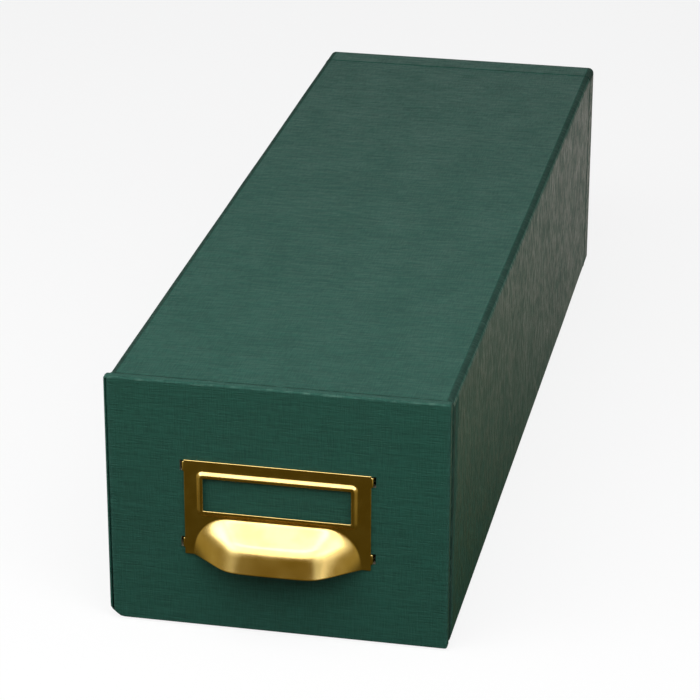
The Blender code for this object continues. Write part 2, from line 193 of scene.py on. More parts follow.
room = bpy.data.worlds.new("room")
room.use_nodes = True
scene.world = room
tree = room.node_tree
towards = add_node(tree, "SeparateXYZ", {0: add_node(tree, "TexCoord").outputs["Generated"]}).outputs
ray = add_node(tree, "LightPath").outputs
aside = maths(tree, "ABSOLUTE", towards["X"])
sides = mix_colours(tree, fade(tree, towards["Z"], *side_rise), side_low, side_high)
reflected = mix_colours(tree, fade(tree, aside, *side_fade), room_front, sides)
back = mix_colours(tree, fade(tree, towards["Z"], *back_rise), room_back, room_high)
back = mix_colours(tree, fade(tree, aside, *corner_fade), back, room_corner)
reflected = mix_colours(tree, fade(tree, towards["Y"], *back_fade), reflected, back)
reflected = mix_colours(tree, fade(tree, towards["Z"], *ceiling_fade), reflected, room_ceiling)
unseen = mix_colours(tree, ray["Is Glossy Ray"], room_light, reflected)
seen = mix_colours(tree, ray["Is Camera Ray"], unseen, white)
connect(tree, seen, tree.nodes["Background"].inputs["Color"])

for name, lamp_size, place, watts in lamps:
    add_lamp(name, lamp_size, place, lamp_aim, watts)


# ---------------------------------------------------------------- case cloth
# One sheet of linen-grained bookcloth is glued over the left wall, the top and the right wall.
# It is folded under the bottom board and turned into the mouth, with a small pleat at each corner.
cloth_thickness = 0.00035
glue_film = 0.0002
case_round = 0.0022          # outer radius of the long edges
mouth_round = 0.0007         # radius where the cloth turns into the mouth
inner_round = 0.0003
turn_in = 0.0150             # how far the cloth runs into the mouth
turn_under = 0.0140          # and under the bottom board
lap_under = 0.0020           # the cloth runs this far under the back cloth's flap
lap_dip = 0.00040            # and is pressed in by this much there
board_thickness = 0.0018
sag_height = 0.00010         # slow hollows and swells of the glued boards
sag_pitch = Vector((0.030, 0.040, 0.110))  # their spacing along X, Y and Z
edge_calm = 0.012            # no swell reaches this near to a long edge
pleat_height = 0.00060       # the pleat's ridge,
pleat_width = 0.00060        # half its width,
pleat_reach = 3              # and how many mouth radii it runs back from the mouth
round_steps = 8              # faces round each fold
cell = 0.005                 # spacing of the sheet's points on flat stretches
fold_fade = 0.0004           # how far the handling of a fold reaches on to the flat
fold_shade_slope = 0.8           # painted shade darkens the long folds from the top down to this slope

thread_pitch = 0.00046       # spacing of the threads
thread_run = 0.0055          # length over which one thread keeps its thickness
thread_relief = 0.00030
weft_share = 0.55            # the weft runs round the case and shows more than the warp
band_pitch = 0.0026          # the weft is beaten in unevenly, in bands
band_run = 0.040
band_relief = 0.00008
slub_pitch = 0.0022          # and its yarn has thick and thin places
slub_run = 0.0050
slub_relief = 0.00080
slub_flat = 0.30             # the top's slubs are pressed down to this share of the walls'
slub_gloss = 0.09            # thin places are this much rougher than the rest, and thick ones smoother
mouth_wear_and_shade = (0.004, 0.010)  # the cloth is dulled, and darkened as painted shadow, this far from the mouth, at foot and top
mouth_wear_and_shade_fade = 0.002
mouth_dulling_and_shade = 0.45         # it is dulled in two steps of this much, and the second step also paints the shadow
cloud_size = (0.018, 0.022)  # slow patches of paler and deeper colour
cloud_tone = 0.7
band_tone = 0.8
rub_size = (0.0035, 0.0011)  # flecks in which a fold is rubbed
cloth_roughness = (0.52, 0.42)             # in the hollows and on the threads
cloud_gloss = 0.03
fold_dulling = 0.35          # a fold is this much rougher
cloth_shine = 0.3
cloth_shadow = (0.0135, 0.066, 0.048)
cloth_light = (0.0225, 0.104, 0.075)
cloth_painted_shade = (0.0060, 0.030, 0.021)     # painted shade on the folds, whose rounding catches less light than the faces
cloth_worn_and_highlit = (0.075, 0.170, 0.130)         # folds are rubbed pale in flecks, the panel's top edge paler still as painted highlight,
cloth_crease_shade = (0.0010, 0.006, 0.004)     # and its pressed line is darkened as painted shade in the crease, where the fold is below 0


def new_sheet():
    """A mesh builder whose points know their place on the flat cloth and how near they are to a fold."""
    builder = bmesh.new()
    builder.verts.layers.float_vector.new("cut_place")
    builder.verts.layers.float.new("fold")
    return builder


def add_row(builder, row):
    """Add one row of points, each given as its place, its place on the flat cloth and its fold."""
    cut_place = builder.verts.layers.float_vector["cut_place"]
    fold = builder.verts.layers.float["fold"]
    made = []
    for place, flat, bend in row:
        vert = builder.verts.new(place)
        vert[cut_place] = (*flat, 0)
        vert[fold] = bend
        made.append(vert)
    return made


def skin_rows(builder, rows, closed=False):
    """Join rows of points with faces, and the ends of each row too where it is closed."""
    count = len(rows[0])
    for row, following in zip(rows, rows[1:]):
        for i in range(count if closed else count - 1):
            j = (i + 1) % count
            builder.faces.new((row[i], following[i], following[j], row[j]))


def settle(made, crease=radians(40)):
    """Apply the piece's modifiers, and shade it smooth apart from its real creases."""
    evaluated = made.evaluated_get(bpy.context.evaluated_depsgraph_get())
    mesh = bpy.data.meshes.new_from_object(evaluated)
    made.modifiers.clear()
    made.data = mesh
    mesh.shade_smooth()
    mesh.set_sharp_from_angle(angle=crease)


def add_piece(name, builder, finish, body, node):
    """Make a piece that stands for a node of the model and rides on its body."""
    mesh = bpy.data.meshes.new(name)
    builder.to_mesh(mesh)
    builder.free()
    mesh.materials.append(finish)
    made = bpy.data.objects.new(name, mesh)
    scene.collection.objects.link(made)
    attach(made, body)
    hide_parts(node)
    return made


def thicken(made, thickness):
    """Give a sheet its thickness, inwards from its outer face."""
    solid = made.modifiers.new("thickness", "SOLIDIFY")
    solid.thickness = thickness
    solid.offset = -1
    solid.use_even_offset = True


def stops(low, high, step):
    """Evenly spaced values from low to high, about a step apart."""
    count = max(1, round(abs(high - low) / step))
    return [low + (high - low) * i / count for i in range(count + 1)]


def rounded_outline(left, right, low, high, radius, counts):
    """A rounded rectangle from its lower left corner, clockwise, as (x, z, normal x, normal z, bend)."""
    points = []
    centres = ((left + radius, low + radius, -pi / 2), (left + radius, high - radius, pi),
               (right - radius, high - radius, pi / 2), (right - radius, low + radius, 0))
    for corner, (across, up, start) in enumerate(centres):
        for i in range(round_steps + 1):
            angle = start - i * pi / 2 / round_steps
            out_x = cos(angle)
            out_z = sin(angle)
            points.append((across + radius * out_x, up + radius * out_z, out_x, out_z, 1.0))
        x, z, out_x, out_z, _ = points[-1]
        after = centres[(corner + 1) % 4]
        length = hypot(after[0] - across, after[1] - up)
        cells = counts[(corner + 1) % 2]
        near = min(fold_fade, length / cells / 2)
        for run in [near] + [length * i / cells for i in range(1, cells)] + [length - near]:
            points.append((x + out_z * run, z - out_x * run, out_x, out_z, 0.0))
    return points


def inset_outline(low, high, inset, radius, counts):
    """A piece's rounded outline as seen from the front, moved in from its outer face by an inset."""
    return rounded_outline(low.x + inset, high.x - inset, low.z + inset, high.z - inset,
                           max(radius - inset, inner_round), counts)


def quarter_turn(radius):
    """Steps round a fold, as (distance in from the side, distance in from the end, arc length)."""
    angles = [i * pi / 2 / round_steps for i in range(round_steps + 1)]
    return [(radius * (1 - cos(angle)), radius * (1 - sin(angle)), radius * angle) for angle in angles]


def swell(place, calm):
    """How far the cloth stands proud of flat at a place; calm is its distance to the nearest edge."""
    seed = Vector((place[0] / sag_pitch.x, place[1] / sag_pitch.y, place[2] / sag_pitch.z))
    return sag_height * noise.noise(seed) * min(1, max(0, calm) / edge_calm)


def bookcloth(name, lean=0.0, fold_shade=0.9, rubbed_and_highlit=0.3, slub=slub_relief, uneven=1.0, weave=0.17):
    """Linen-grained cloth: uneven warp and weft, a coated face that shines a little, painted shade on folds.

    lean shifts the grain, so that no two sheets are alike. fold_shade is how far the folds are darkened
    with painted shade, and rubbed_and_highlit how far they are made pale, by wear in flecks and, on the
    panel's top edge, by painted highlight too. slub is the relief of the yarn's lumps, uneven the
    strength of the clouds and bands, and a wider weave has softer contrast between its threads.
    """
    finish = bpy.data.materials.new(name)
    finish.use_nodes = True
    tree = finish.node_tree
    shader = tree.nodes["Principled BSDF"]
    flat = add_node(tree, "Attribute", attribute_name="cut_place").outputs["Vector"]
    fold = add_node(tree, "Attribute", attribute_name="fold").outputs["Fac"]

    def grain(across, along, detail=2.0, shift=0.0):
        """Noise on the flat cloth; what is added to each shift only keeps the kinds apart."""
        scale = (1 / across, 1 / along, 1)
        mapping = add_node(tree, "Mapping", {"Vector": flat, "Scale": scale, "Location": (shift,) * 3})
        placed = mapping.outputs[0]
        return add_node(tree, "TexNoise", {"Vector": placed, "Scale": 1.0, "Detail": detail}).outputs[0]

    warp = grain(thread_pitch, thread_run, shift=lean)
    weft = grain(thread_run, thread_pitch, shift=lean + 7.3)
    warp_part = maths(tree, "MULTIPLY", warp, 1 - weft_share)
    threads = maths(tree, "ADD", warp_part, maths(tree, "MULTIPLY", weft, weft_share))
    bands = grain(band_run, band_pitch, detail=3.0, shift=lean + 5.9)
    cloud = grain(*cloud_size, detail=3.0, shift=lean + 3.1)
    cloud_part = maths(tree, "MULTIPLY", maths(tree, "SUBTRACT", cloud, 0.5), cloud_tone * uneven)
    band_part = maths(tree, "MULTIPLY", maths(tree, "SUBTRACT", bands, 0.5), band_tone * uneven)
    tone = maths(tree, "ADD", cloud_part, band_part)
    tone = maths(tree, "ADD", tone, fade(tree, threads, 0.5 - weave, 0.5 + weave))
    colour = mix_colours(tree, tone, cloth_shadow, cloth_light)

    folded = fade(tree, fold, 0.5, 1.0)
    flecks = fade(tree, grain(*rub_size, shift=lean + 1.7), 0.45, 0.75)
    # pale folds: wear in flecks, and on the panel's top edge painted highlight as well
    worn_and_highlit = maths(tree, "MULTIPLY", maths(tree, "MULTIPLY", folded, flecks), rubbed_and_highlit)
    # painted shade in the pressed line's crease, where the fold value is below 0
    pressed = fade(tree, maths(tree, "MULTIPLY", fold, -1), 0.1, 0.9)
    # painted shade: the folds, and the walls beside the mouth, are darkened towards cloth_painted_shade
    colour = mix_colours(tree, maths(tree, "MULTIPLY", folded, fold_shade), colour, cloth_painted_shade)
    colour = mix_colours(tree, worn_and_highlit, colour, cloth_worn_and_highlit)
    connect(tree, mix_colours(tree, pressed, colour, cloth_crease_shade), shader.inputs["Base Color"])

    facing = add_node(tree, "SeparateXYZ", {0: add_node(tree, "TexCoord").outputs["Normal"]}).outputs["X"]
    raised = fade(tree, maths(tree, "ABSOLUTE", facing), 0.5, 0.95, slub_flat, 1.0)
    lumps = grain(slub_run, slub_pitch, shift=lean + 4.3)
    dulled = maths(tree, "MULTIPLY", fade(tree, fold, 0.0, 0.5), fold_dulling)
    gloss = maths(tree, "MULTIPLY", raised, fade(tree, lumps, 0.35, 0.65, slub_gloss, -slub_gloss))
    gloss = maths(tree, "ADD", fade(tree, cloud, 0.3, 0.7, cloud_gloss, -cloud_gloss), gloss)
    gloss = maths(tree, "ADD", fade(tree, threads, 0.35, 0.65, *cloth_roughness), gloss)
    connect(tree, maths(tree, "ADD", dulled, gloss), shader.inputs["Roughness"])

    normal = None
    reliefs = ((threads, 1.0, thread_relief), (bands, 1.0, band_relief), (lumps, raised, slub))
    for height, strength, distance in reliefs:
        bump = add_node(tree, "Bump", {"Height": height, "Strength": strength, "Distance": distance})
        connect(tree, normal, bump.inputs["Normal"])
        normal = bump.outputs[0]
    connect(tree, normal, shader.inputs["Normal"])
    shader.inputs["Specular IOR Level"].default_value = cloth_shine
    return finish


wrap_low, wrap_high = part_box("case_wrap_cloth")
mouth = wrap_low.y
case_wall = 2 * (cloth_thickness + glue_film) + board_thickness
case_counts = (round((wrap_high.x - wrap_low.x) / cell), round((wrap_high.z - wrap_low.z) / cell))


def pleat(x, z, y):
    """The little ridge where spare cloth is gathered at the mouth's two upper corners."""
    aside = (abs(x) - (wrap_high.x - case_round)) - (z - (wrap_high.z - case_round))
    near_corner = hypot(abs(x) - wrap_high.x, z - wrap_high.z) < 2 * case_round
    behind = (y - mouth) / mouth_round
    if not near_corner:
        return 0
    return pleat_height * max(0, 1 - (aside / pleat_width) ** 2) * max(0, 1 - behind / pleat_reach)


def case_row(y, inset, along, tails=False, calm_end=1.0):
    """The cloth's points at one depth into the case, moved in from its outer face by an inset."""
    outline = inset_outline(wrap_low, wrap_high, inset, case_round, case_counts)
    while not outline[-1][4]:        # the sheet ends at the right wall's lower fold
        outline.pop()
    if tails:
        under = [(x, wrap_low.z, 0, -1, 0) for x in stops(wrap_low.x + turn_under, outline[0][0], cell)[:-1]]
        outline = under + outline + [(-x, z, out_x, out_z, bend) for x, z, out_x, out_z, bend in under[::-1]]
    lengths = [0.0]
    for before, after in zip(outline, outline[1:]):
        lengths.append(lengths[-1] + hypot(after[0] - before[0], after[1] - before[1]))
    row = []
    for (x, z, out_x, out_z, bend), length in zip(outline, lengths):
        # the face that a point lies on is no edge, so its own distance gets a metre added
        calm = min(abs(abs(x) - wrap_high.x) + abs(out_x), abs(z - wrap_high.z) + abs(out_z),
                   abs(z - wrap_low.z) + abs(out_z))
        out = swell((x, y, z), calm) * calm_end
        if inset < case_wall / 2:
            out += pleat(x, z, y)
        # the painted shade of a long fold reaches from the top down to fold_shade_slope
        if abs(out_x) > fold_shade_slope and z > wrap_high.z - case_round:
            bend = 0.0
        # beside the mouth the walls are dulled, then darkened as painted shadow beside the drawer's panel
        if abs(out_x) == 1:
            up = (z - wrap_low.z) / (wrap_high.z - wrap_low.z)
            wear_and_shade = mouth_wear_and_shade[0] + (mouth_wear_and_shade[1] - mouth_wear_and_shade[0]) * up
            steps = [min(1, max(0, (reach - (y - mouth)) / mouth_wear_and_shade_fade)) for reach in (wear_and_shade / 2, wear_and_shade)]
            bend = mouth_dulling_and_shade * sum(steps)
        forward = pleat(x, z, y) / 2 if y < mouth + mouth_round else 0
        place = (x + out_x * out, y - forward, z + out_z * out)
        row.append((place, (length - lengths[-1] / 2, along), bend))
    return row


def make_case_cloth():
    """The sheet from the back's flap to the mouth, and the lip that is turned into the mouth."""
    builder = new_sheet()
    back = wrap_high.y
    rows = [case_row(back + lap_under, lap_dip, back + lap_under, tails=True),
            case_row(back + glue_film, lap_dip, back + glue_film, tails=True)]
    near_mouth = mouth + mouth_wear_and_shade[1] + mouth_wear_and_shade_fade
    for y in stops(back - glue_film, near_mouth, cell) + stops(near_mouth, mouth + mouth_round, cell / 4)[1:]:
        calm_end = min(1, (back - y) / edge_calm, (y - mouth) / edge_calm)
        rows.append(case_row(y, 0, y, tails=True, calm_end=calm_end))
    rows = [add_row(builder, row) for row in rows]
    skin_rows(builder, rows)
    turn = quarter_turn(mouth_round)
    tail_points = len(stops(wrap_low.x + turn_under, wrap_low.x + case_round, cell)) - 1
    lip = []
    for inset, end, arc in turn[1:]:
        lip.append(case_row(mouth + end, inset, mouth + mouth_round - arc, calm_end=0))
    for inset, end, arc in turn[::-1]:
        along = mouth + mouth_round - 2 * turn[-1][2] + arc
        lip.append(case_row(mouth + end, case_wall - inset, along, calm_end=0))
    lip.append(case_row(mouth + turn_in, case_wall, mouth - turn_in, calm_end=0))
    near = mouth + 2 * mouth_round
    # the cloth round the mouth's edge gets a full fold value, so it is darkened with painted shade
    lip = [[(place, flat, 1.0 if place[1] < near else bend) for place, flat, bend in row] for row in lip]
    first = rows[-1][tail_points:len(rows[-1]) - tail_points]
    skin_rows(builder, [first] + [add_row(builder, row) for row in lip])
    made = add_piece("case_covering", builder, bookcloth("case cloth"), "case", "case_wrap_cloth")
    thicken(made, cloth_thickness)
    settle(made)


make_case_cloth()


# ---------------------------------------------------------------- back cloth
# The back board has its own piece of the same cloth, lapped round the ends of the four walls
# and glued down over the case cloth, so that its cut edge shows all round near the back.
flap_rise = 0.00012          # the flap's cut edge stands this proud of the case cloth
flap_ease = 0.0025           # and lies flat from here on
flap_edge = 0.0004           # its cut edge is this wide
back_sag = 0.4               # the back's hollows differ from those of the walls,
back_sag_squeeze = 1.3       # and are this much closer together
back_low, back_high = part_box("case_back_cloth")


def make_back_cloth():
    def row(y, inset, along, rise=0.0, calm=0.0):
        """One ring of the cloth at a depth; calm above 0 says how far inside the back's edge it is."""
        outline = inset_outline(back_low, back_high, inset, case_round, case_counts)
        points = []
        for x, z, out_x, out_z, bend in outline:
            back_swell = swell((x * back_sag_squeeze, z, back_sag), calm)
            # the back's folds get a full fold value, so they are darkened with painted shade
            bend = 1.0 if inset or bend else 0.0
            flat = (x + out_x * along, z + out_z * along)
            points.append(((x + out_x * rise, y + back_swell, z + out_z * rise), flat, bend * (calm == 0)))
        return points

    depth = back_high.y - back_low.y
    flat_depth = depth - flap_ease - case_round
    middle = (back_high.z - back_low.z) / 2
    rows = [row(back_low.y, 0, depth, flap_rise), row(back_low.y + flap_edge, 0, depth, flap_rise * 1.1)]
    for run in stops(0, flat_depth, cell):
        rows.append(row(back_low.y + flap_ease + run, 0, depth - run))
    for inset, end, arc in quarter_turn(case_round)[1:]:
        rows.append(row(back_high.y - end, inset, case_round - arc + inset))
    for inset in stops(case_round, middle - cell, cell)[1:]:
        rows.append(row(back_high.y, inset, 0, calm=inset - case_round))
    builder = new_sheet()
    rows = [add_row(builder, points) for points in rows]
    skin_rows(builder, rows, closed=True)
    builder.faces.new(rows[-1][::-1])
    bmesh.ops.reverse_faces(builder, faces=builder.faces)
    made = add_piece("back_covering", builder, bookcloth("back cloth", lean=11.0), "case", "case_back_cloth")
    thicken(made, cloth_thickness)
    settle(made)


make_back_cloth()


# ---------------------------------------------------------------- base cloth
# A plain sheet covers the underside and hides the turned-under tails. It runs up the front edge
# of the bottom board and into the mouth, where the tray slides over it.
base_low, base_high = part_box("case_base_cloth")


def make_base_cloth():
    turn = quarter_turn(mouth_round)
    profile = [(y, 0.0, 0.0) for y in stops(base_high.y, base_low.y + mouth_round, cell)]
    # the fold round the bottom board's front edge is darkened with painted shade
    profile += [(base_low.y + end, inset, 1.0) for inset, end, _ in turn[1:]]
    profile += [(base_low.y + end, base_high.z - inset, 1.0) for inset, end, _ in turn[::-1]]
    inside = stops(base_low.y + mouth_round, base_low.y + turn_in, cell)[1:]
    profile += [(y, base_high.z, 0.0) for y in inside]
    builder = new_sheet()
    rows = []
    for x in stops(base_low.x, base_high.x, cell):
        along = 0.0
        row = []
        for (y, z, bend), before in zip(profile, [profile[0]] + profile):
            along += hypot(y - before[0], z - before[1])
            row.append(((x, y, z), (x, along), bend))
        rows.append(add_row(builder, row))
    skin_rows(builder, rows)
    made = add_piece("base_covering", builder, bookcloth("base cloth", lean=23.0), "case", "case_base_cloth")
    thicken(made, cloth_thickness)
    settle(made)


make_base_cloth()


# ---------------------------------------------------------------- boards
# Every wall of the case and the tray is greyboard, a dense board of pulped waste paper. It shows
# bare inside the case, grey-brown with darker and paler flecks of fibre.
pulp_deep = (0.255, 0.228, 0.183)
pulp_pale = (0.335, 0.305, 0.252)
fleck_deep = (0.12, 0.10, 0.08)
fleck_pale = (0.52, 0.49, 0.43)
pulp_cloud = 0.012           # sizes of the pulp's clouds, of its flecks and of its felted surface
fleck_deep_size = 0.0011
fleck_pale_size = 0.0007
pulp_felt = 0.0006
pulp_roughness = (0.82, 0.95)
pulp_relief = 0.0001


def greyboard(name):
    """Bare board: clouded pulp with deep and pale flecks, and a felted surface."""
    finish = bpy.data.materials.new(name)
    finish.use_nodes = True
    tree = finish.node_tree
    shader = tree.nodes["Principled BSDF"]
    place = add_node(tree, "TexCoord").outputs["Object"]

    def speckle(size, detail=3.0):
        return add_node(tree, "TexNoise", {"Vector": place, "Scale": 1 / size, "Detail": detail}).outputs[0]

    pulp = mix_colours(tree, fade(tree, speckle(pulp_cloud), 0.3, 0.7), pulp_deep, pulp_pale)
    deep = maths(tree, "MULTIPLY", fade(tree, speckle(fleck_deep_size), 0.62, 0.72), 0.6)
    pale = maths(tree, "MULTIPLY", fade(tree, speckle(fleck_pale_size, 1.0), 0.66, 0.74), 0.5)
    flecked = mix_colours(tree, deep, pulp, fleck_deep)
    connect(tree, mix_colours(tree, pale, flecked, fleck_pale), shader.inputs["Base Color"])
    connect(tree, fade(tree, speckle(pulp_cloud / 3), 0.3, 0.7, *pulp_roughness), shader.inputs["Roughness"])
    bump = add_node(tree, "Bump", {"Height": speckle(pulp_felt), "Strength": 0.4, "Distance": pulp_relief})
    connect(tree, bump.outputs[0], shader.inputs["Normal"])
    return finish


case_greyboard = greyboard("case greyboard")
tray_greyboard = greyboard("tray greyboard")
for name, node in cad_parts.items():
    if name.endswith("_board"):
        node.data.materials.clear()
        node.data.materials.append(case_greyboard if name.startswith("case") else tray_greyboard)


# ---------------------------------------------------------------- drawer front cloth
# One sheet covers the drawer's front board, drawn round its four edges and glued down behind.
# A pressed line runs up the left edge, and the lower left corner has been knocked in.
front_low, front_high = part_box("drawer_front_cloth")
front_round = 0.0006         # outer radius of the cloth's fold round the panel's face
front_back_round = 0.0007    # and behind
front_corner = 0.0009        # corner radius of the panel's outline
front_turn_in = 0.0150
front_fineness = 4           # its rings have this many times the case's points
front_counts = (front_fineness * case_counts[0], front_fineness * case_counts[1])
front_rings = [0.0070, 0.0040, 0.0030, 0.0022, 0.0016]      # insets of the rings near its edge
front_flatness = 14          # its slubs are pressed this many times flatter than the case's
front_calm = 0.002           # no swell comes this near to its edge
front_sag = 0.3              # its hollows differ from those of the walls
front_side_wear_and_highlight = 0.6             # its sides and foot are made less pale than its top, whose paling is partly painted highlight
steep = 0.7                  # slope from which a point belongs to an edge
crease_insets = (0.00100, 0.00074)   # the pressed line's distance from the left edge, at its foot and top
crease_widths = (0.00032, 0.00018)   # half its width there
crease_depth = 0.00080
crease_step = 0.00012        # spacing of the rings across it
crease_reach = crease_insets[0] + crease_widths[0]
crease_shade_height = 0.55    # the line's painted shade is deepest at its foot, and fades out at this share of the panel's height
crease_rim = 0.0018          # on its other side the cloth is paler, in flecks, up to here
crease_rim_paling = 0.75
knock_reach = 0.0037         # how far along the lower edge the knocked corner goes
knock_slope = 1.15           # the knock's slant: this much further along the edge than up it
knock_softness = 0.0005      # length over which the knock eases into the panel
knock_lean = 0.25            # the corner is also bent back a little
slit_play = 0.00075          # the slits run past the brass prongs by this much
prong_rows = ((0.0022, 0.0055), (0.0290, 0.0323))     # heights of the prongs above the plate's foot
slit_depth = 0.02            # the cutter reaches through the cloth and the board
pull_half = 0.0301           # half the width of the brass plate, whose prongs pass through the slits
pull_height = 0.0329
pull_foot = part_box("label_pull")[1].z - pull_height
pull_sheet = 0.0005
prong_bend = 0.00065         # outer radius of the prongs' bends


def knocked(place):
    """Press the panel's lower left corner in, as a knock against something has done."""
    depth = knock_reach - (place.x - front_low.x) - (place.z - front_low.z) * knock_slope
    push = 0.5 * (depth + sqrt(depth * depth + knock_softness ** 2)) / (1 + knock_slope ** 2)
    return Vector((place.x + push, place.y + push * knock_lean, place.z + push * knock_slope))


def front_row(y, inset, extra, calm=0.0, bend=1.0):
    """One ring of the front's cloth, with the pressed line across it; extra is its length past the face."""
    outline = inset_outline(front_low, front_high, inset, front_corner, front_counts)
    row = []
    for x, z, out_x, out_z, _ in outline:
        out = swell((x, front_sag, z), calm)
        up = (z - front_low.z) / (front_high.z - front_low.z)
        wear_and_shade = bend * front_side_wear_and_highlight
        # the top edge is palest and the left edge paler upwards, painted highlight on top of wear
        if out_z > steep:
            wear_and_shade = bend
        elif out_x < -steep:
            wear_and_shade = bend * (front_side_wear_and_highlight + (1 - front_side_wear_and_highlight) * up)
        if x < 0 and y == front_low.y:
            line, width = (low + (high - low) * up for low, high in (crease_insets, crease_widths))
            pressed = max(0, 1 - ((x - front_low.x - line) / width) ** 2)
            out -= crease_depth * pressed
            if pressed:
                # a fold value below 0 darkens the crease with painted shade
                wear_and_shade = -pressed * max(0, 1 - up / crease_shade_height)
            elif crease_reach <= x - front_low.x < crease_rim:
                wear_and_shade = max(wear_and_shade, crease_rim_paling)
        row.append(((x, y - out, z), (x + out_x * extra, z + out_z * extra), wear_and_shade))
    return row


def make_front_cloth():
    """Rings of points from the middle of the face out to its edge, round it, and in again behind."""
    middle = (front_high.z - front_low.z) / 2
    depth = front_high.y - front_low.y
    insets = stops(middle - cell / 2, 2 * cell, cell) + front_rings
    insets += stops(crease_reach, front_round, crease_step)[:-1]
    rows = [front_row(front_low.y, inset, 0, calm=inset - front_calm, bend=0.0) for inset in insets]
    for inset, end, arc in quarter_turn(front_round)[::-1]:
        rows.append(front_row(front_low.y + end, inset, front_round - arc))
    for run in (front_round + fold_fade, depth - 2 * fold_fade):
        rows.append(front_row(front_low.y + run, 0, run, bend=0.0))
    for inset, end, arc in quarter_turn(front_back_round):
        rows.append(front_row(front_high.y - end, inset, depth + arc))
    for inset in stops(cell, front_turn_in, cell):
        rows.append(front_row(front_high.y, inset, depth + inset, bend=0.0))
    builder = new_sheet()
    rows = [add_row(builder, row) for row in rows]
    skin_rows(builder, rows, closed=True)
    builder.faces.new(rows[0])
    bmesh.ops.reverse_faces(builder, faces=builder.faces)
    finish = bookcloth("front cloth", lean=31.0, fold_shade=0.0, rubbed_and_highlit=0.8, slub=slub_relief / front_flatness,
                       uneven=0.5, weave=0.26)
    made = add_piece("drawer_front_covering", builder, finish, "drawer", "drawer_front_cloth")
    thicken(made, cloth_thickness)
    cut_slits(made)
    cut_place = made.data.attributes["cut_place"].data
    for vert in made.data.vertices:
        if vert.co.y < front_low.y + front_round and abs(vert.co.x) < front_high.x - front_corner:
            cut_place[vert.index].vector = (vert.co.x, vert.co.z, 0)
        vert.co = knocked(vert.co)


def cut_slits(made):
    """Cut the four slits for the brass prongs, and apply the piece's modifiers."""
    builder = bmesh.new()
    for side in (-1, 1):
        near = pull_half + prong_bend - pull_sheet - glue_film
        far = pull_half + prong_bend + slit_play
        for low, high in prong_rows:
            cube = bmesh.ops.create_cube(builder, size=1)["verts"]
            bmesh.ops.scale(builder, vec=(far - near, slit_depth, high - low + 2 * glue_film), verts=cube)
            place = (side * (near + far) / 2, front_low.y, pull_foot + (low + high) / 2)
            bmesh.ops.translate(builder, vec=place, verts=cube)
    mesh = bpy.data.meshes.new("slits")
    builder.to_mesh(mesh)
    builder.free()
    cutter = bpy.data.objects.new("slits", mesh)
    scene.collection.objects.link(cutter)
    cutter.hide_render = True
    cut = made.modifiers.new("slits", "BOOLEAN")
    cut.object = cutter
    settle(made)
    bpy.data.objects.remove(cutter)


front_board_cuts = 63        # enough points for the board to follow the knock


def make_front_board():
    """The board under the cloth, with the same knock, pressed back from the line at its left edge."""
    low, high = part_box("drawer_front_board")
    builder = bmesh.new()
    bmesh.ops.create_cube(builder, size=1)
    bmesh.ops.scale(builder, vec=high - low, verts=builder.verts)
    bmesh.ops.translate(builder, vec=(low + high) / 2, verts=builder.verts)
    bmesh.ops.subdivide_edges(builder, edges=builder.edges, cuts=front_board_cuts, use_grid_fill=True)
    made = add_piece("drawer_front_core", builder, tray_greyboard, "drawer", "drawer_front_board")
    cut_slits(made)
    for vert in made.data.vertices:
        vert.co.x = max(vert.co.x, front_low.x + crease_reach)
        vert.co = knocked(vert.co)


make_front_cloth()
make_front_board()


# ---------------------------------------------------------------- tray papers
# The tray is covered outside in plain dark green paper and lined in cream paper, all smooth and
# uncoated. The covering is turned down over the rim, and the lining reaches up to it.
outer_green = ((0.016, 0.067, 0.047), (0.021, 0.081, 0.056))
outer_roughness = 0.62
outer_fibre = 0.0012
lining_cream = ((0.690, 0.650, 0.530), (0.745, 0.710, 0.595))
lining_roughness = 0.85
lining_fibre = 0.0009
paper_cloud = 0.025
paper_relief = 0.00005


def plain_paper(name, shades, roughness, fibre):
    """Uncoated paper with short fibres in two shades."""
    finish = bpy.data.materials.new(name)
    finish.use_nodes = True
    tree = finish.node_tree
    shader = tree.nodes["Principled BSDF"]
    place = add_node(tree, "TexCoord").outputs["Object"]
    cloud = add_node(tree, "TexNoise", {"Vector": place, "Scale": 1 / paper_cloud, "Detail": 4.0}).outputs[0]
    fibres = add_node(tree, "TexNoise", {"Vector": place, "Scale": 1 / fibre, "Detail": 2.0}).outputs[0]
    tone = maths(tree, "MULTIPLY_ADD", maths(tree, "SUBTRACT", fibres, 0.5), 0.5, cloud)
    connect(tree, mix_colours(tree, fade(tree, tone, 0.25, 0.75), *shades), shader.inputs["Base Color"])
    rough = fade(tree, fibres, 0.3, 0.7, roughness - 0.05, roughness + 0.05)
    connect(tree, rough, shader.inputs["Roughness"])
    bump = add_node(tree, "Bump", {"Height": fibres, "Strength": 0.25, "Distance": paper_relief})
    connect(tree, bump.outputs[0], shader.inputs["Normal"])
    return finish


outer_paper = plain_paper("outer paper", outer_green, outer_roughness, outer_fibre)
lining_paper = plain_paper("lining paper", lining_cream, lining_roughness, lining_fibre)
for name, finish, slot in (("drawer_wrap_paper", outer_paper, "green_paper"),
                           ("drawer_base_paper", outer_paper, "green_paper"),
                           ("drawer_wall_lining", lining_paper, "lining_paper"),
                           ("drawer_floor_lining", lining_paper, "lining_paper")):
    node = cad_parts[name]
    node.data.materials.clear()
    node.data.materials.append(finish)


